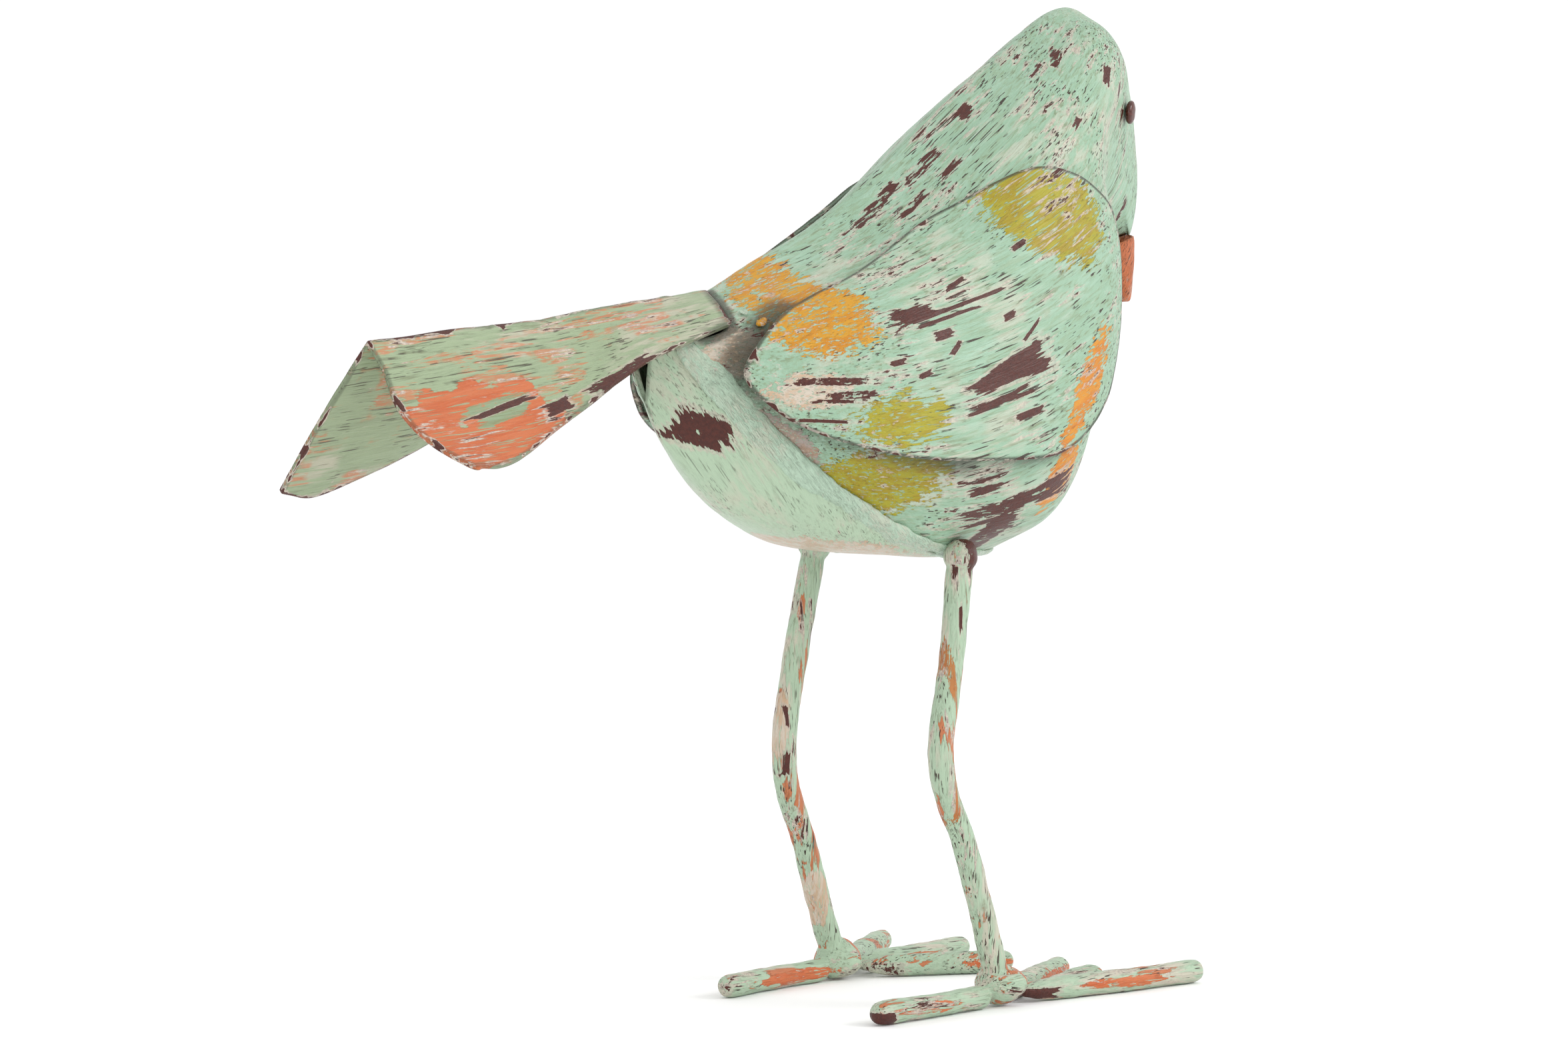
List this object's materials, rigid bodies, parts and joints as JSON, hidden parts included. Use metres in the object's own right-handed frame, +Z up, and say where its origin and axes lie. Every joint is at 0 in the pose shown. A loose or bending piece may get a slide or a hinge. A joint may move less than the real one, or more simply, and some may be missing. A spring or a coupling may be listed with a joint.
{
  "type": "garden bird ornament",
  "caption": "Free-standing welded sheet-metal garden bird with bowed head, raised folded tail, standing on bent rod legs with splayed rod toes.",
  "frame": {"origin": "on the ground, under the middle of the bounding box", "axes": "+X the way the bird faces, +Y its left, +Z up"},
  "size_m": [0.322, 0.1244, 0.3032],
  "materials": {
    "body_paint": "distressed mint paint brushed over cream and dark red-brown, satin",
    "wing_paint": "distressed mint paint with olive and mustard dabs, satin",
    "tail_paint": "distressed mint paint rubbed with terracotta, satin",
    "rod_paint": "thick distressed mint paint with terracotta and brown patches, satin",
    "weld_paint": "mint paint over rough weld, satin",
    "terracotta_paint": "distressed terracotta paint, satin",
    "brown_enamel": "dark red-brown enamel, semi-gloss"
  },
  "bodies": {
    "root": {"tail": "tail_paint", "belly_plate": "body_paint", "beak": "terracotta_paint", "right_body_shell": "body_paint", "right_wing": "wing_paint", "right_seam_weld": "weld_paint", "right_eye": "brown_enamel", "right_wing_tack": "weld_paint", "right_tail_tack": "weld_paint", "right_leg": "rod_paint", "right_leg_weld": "weld_paint", "right_ankle_weld": "weld_paint", "right_back_toe": "rod_paint", "right_outer_toe": "rod_paint", "right_middle_toe": "rod_paint", "right_inner_toe": "rod_paint", "left_body_shell": "body_paint", "left_wing": "wing_paint", "left_seam_weld": "weld_paint", "left_eye": "brown_enamel", "left_wing_tack": "weld_paint", "left_tail_tack": "weld_paint", "left_leg": "rod_paint", "left_leg_weld": "weld_paint", "left_ankle_weld": "weld_paint", "left_back_toe": "rod_paint", "left_outer_toe": "rod_paint", "left_middle_toe": "rod_paint", "left_inner_toe": "rod_paint"}
  },
  "joints": []
}
